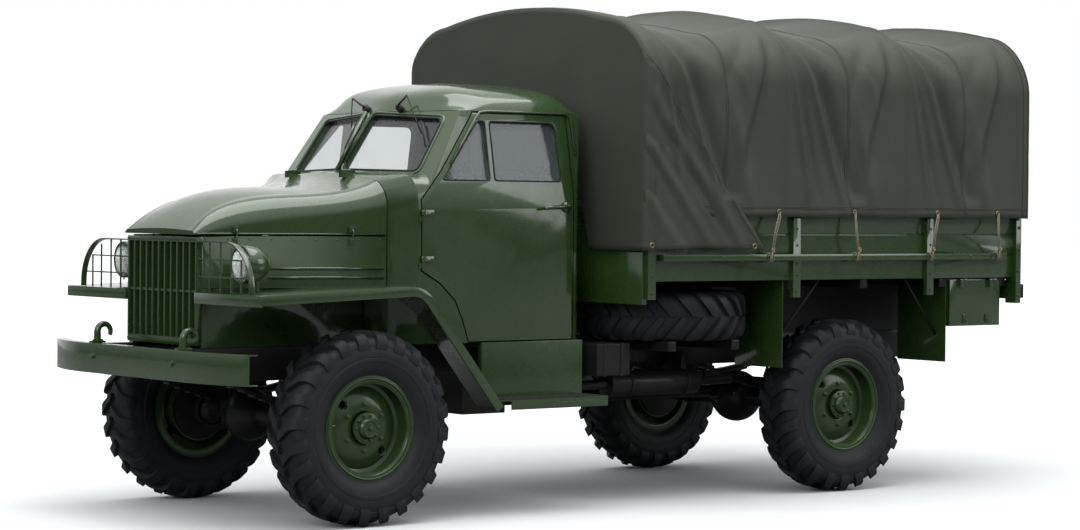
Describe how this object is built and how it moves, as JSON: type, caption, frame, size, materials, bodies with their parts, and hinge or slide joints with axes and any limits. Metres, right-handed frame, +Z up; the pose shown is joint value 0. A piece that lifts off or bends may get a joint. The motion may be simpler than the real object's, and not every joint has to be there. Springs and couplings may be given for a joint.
{
  "type": "cargo truck",
  "caption": "Two-axle military cargo truck: bonneted cab, canvas-covered load bed, steering front wheels, opening hood, doors, tailgate and tool boxes.",
  "frame": {"origin": "on the ground under the middle of the truck, halfway along its length and width", "axes": "+X forward, +Y to the left of the truck, +Z up"},
  "size_m": [6.01, 2.372, 2.9546],
  "materials": {
    "green_paint": "glossy dark olive green enamel",
    "black_paint": "satin black chassis paint",
    "tyre": "dull black rubber with bar lugs",
    "canvas": "dull waxed cotton canvas",
    "glass": "clear",
    "lamp_glass": "fluted lamp glass",
    "lamp_red": "gloss",
    "iron": "dull oily casting",
    "seat_cloth": "worn leathercloth",
    "wood": "painted planks"
  },
  "bodies": {
    "chassis": {"battery_box": "black_paint", "bed_ends": "green_paint", "bed_floor": "wood", "bed_runners": "black_paint", "bed_sides": "green_paint", "bed_sills": "black_paint", "cab_back": "green_paint", "cab_cowl": "green_paint", "cab_floor": "green_paint", "cab_front": "green_paint", "cab_glass": "glass", "cab_roof": "green_paint", "canvas_bows": "green_paint", "canvas_cover": "canvas", "dashboard": "green_paint", "engine_bay_sides": "green_paint", "exhaust": "black_paint", "fenders": "green_paint", "frame_cross_members": "black_paint", "frame_rails": "black_paint", "front_axle": "black_paint", "front_bumper": "green_paint", "fuel_tank": "black_paint", "grille": "green_paint", "headlamp_lenses": "lamp_glass", "headlamps": "green_paint", "leaf_springs": "black_paint", "mud_plates": "black_paint", "power_unit": "iron", "propeller_shafts": "black_paint", "radiator": "black_paint", "rear_axle": "black_paint", "running_boards": "green_paint", "seat": "seat_cloth", "spare_tyre": "tyre", "spare_wheel": "green_paint", "steering_wheel": "black_paint", "tail_lamps": "lamp_red", "tool_boxes": "green_paint", "tow_hooks": "green_paint", "towing_hook": "black_paint"},
    "hood": {"hood": "green_paint"},
    "door_left": {"door_left": "green_paint", "door_glass_left": "glass"},
    "door_right": {"door_right": "green_paint", "door_glass_right": "glass"},
    "tailgate": {"tailgate": "green_paint"},
    "tool_box_lid_left": {"tool_box_lid_left": "green_paint"},
    "tool_box_lid_right": {"tool_box_lid_right": "green_paint"},
    "knuckle_left": {"knuckle_left": "black_paint"},
    "knuckle_right": {"knuckle_right": "black_paint"},
    "tie_rod": {"tie_rod": "black_paint"},
    "wheel_front_left": {"tyre_front_left": "tyre", "wheel_front_left": "green_paint"},
    "wheel_front_right": {"tyre_front_right": "tyre", "wheel_front_right": "green_paint"},
    "wheel_rear_left": {"tyre_rear_left": "tyre", "wheel_rear_left": "green_paint"},
    "wheel_rear_right": {"tyre_rear_right": "tyre", "wheel_rear_right": "green_paint"}
  },
  "joints": [
    {"name": "hood_hinge", "type": "hinge", "parent": "chassis", "child": "hood", "pos_m": [1.755, 0, 1.945], "axis": [0, -1, 0], "range_deg": [0, 50]},
    {"name": "door_left_hinge", "type": "hinge", "parent": "chassis", "child": "door_left", "pos_m": [1.6225, 0.812, 1.5], "axis": [0, 0, -1], "range_deg": [0, 70]},
    {"name": "door_right_hinge", "type": "hinge", "parent": "chassis", "child": "door_right", "pos_m": [1.6225, -0.812, 1.5], "axis": [0, 0, 1], "range_deg": [0, 70]},
    {"name": "tailgate_hinge", "type": "hinge", "parent": "chassis", "child": "tailgate", "pos_m": [-2.917, 0, 1.303], "axis": [0, -1, 0], "range_deg": [0, 90]},
    {"name": "tool_box_lid_left_hinge", "type": "hinge", "parent": "chassis", "child": "tool_box_lid_left", "pos_m": [-2.53, 1.116, 1.305], "axis": [1, 0, 0], "range_deg": [0, 85]},
    {"name": "tool_box_lid_right_hinge", "type": "hinge", "parent": "chassis", "child": "tool_box_lid_right", "pos_m": [-2.53, -1.116, 1.305], "axis": [-1, 0, 0], "range_deg": [0, 85]},
    {"name": "steer_left", "type": "hinge", "parent": "chassis", "child": "knuckle_left", "pos_m": [2.1, 0.65, 0.535], "axis": [0, 0, 1], "range_deg": [-28, 28]},
    {"name": "steer_right", "type": "hinge", "parent": "chassis", "child": "knuckle_right", "pos_m": [2.1, -0.65, 0.535], "axis": [0, 0, 1], "range_deg": [-28, 28]},
    {"name": "tie_rod_pivot", "type": "hinge", "parent": "knuckle_left", "child": "tie_rod", "pos_m": [1.87, 0.65, 0.391], "axis": [0, 0, 1], "range_deg": [-28, 28]},
    {"name": "wheel_front_left_spin", "type": "hinge", "parent": "knuckle_left", "child": "wheel_front_left", "pos_m": [2.1, 0.895, 0.535], "axis": [0, 1, 0], "continuous": true},
    {"name": "wheel_front_right_spin", "type": "hinge", "parent": "knuckle_right", "child": "wheel_front_right", "pos_m": [2.1, -0.895, 0.535], "axis": [0, 1, 0], "continuous": true},
    {"name": "wheel_rear_left_spin", "type": "hinge", "parent": "chassis", "child": "wheel_rear_left", "pos_m": [-1.48, 0.895, 0.535], "axis": [0, 1, 0], "continuous": true},
    {"name": "wheel_rear_right_spin", "type": "hinge", "parent": "chassis", "child": "wheel_rear_right", "pos_m": [-1.48, -0.895, 0.535], "axis": [0, 1, 0], "continuous": true}
  ],
  "couplings": [
    {"joint": "steer_right", "follows": "steer_left", "ratio": 1},
    {"joint": "tie_rod_pivot", "follows": "steer_left", "ratio": -1}
  ]
}
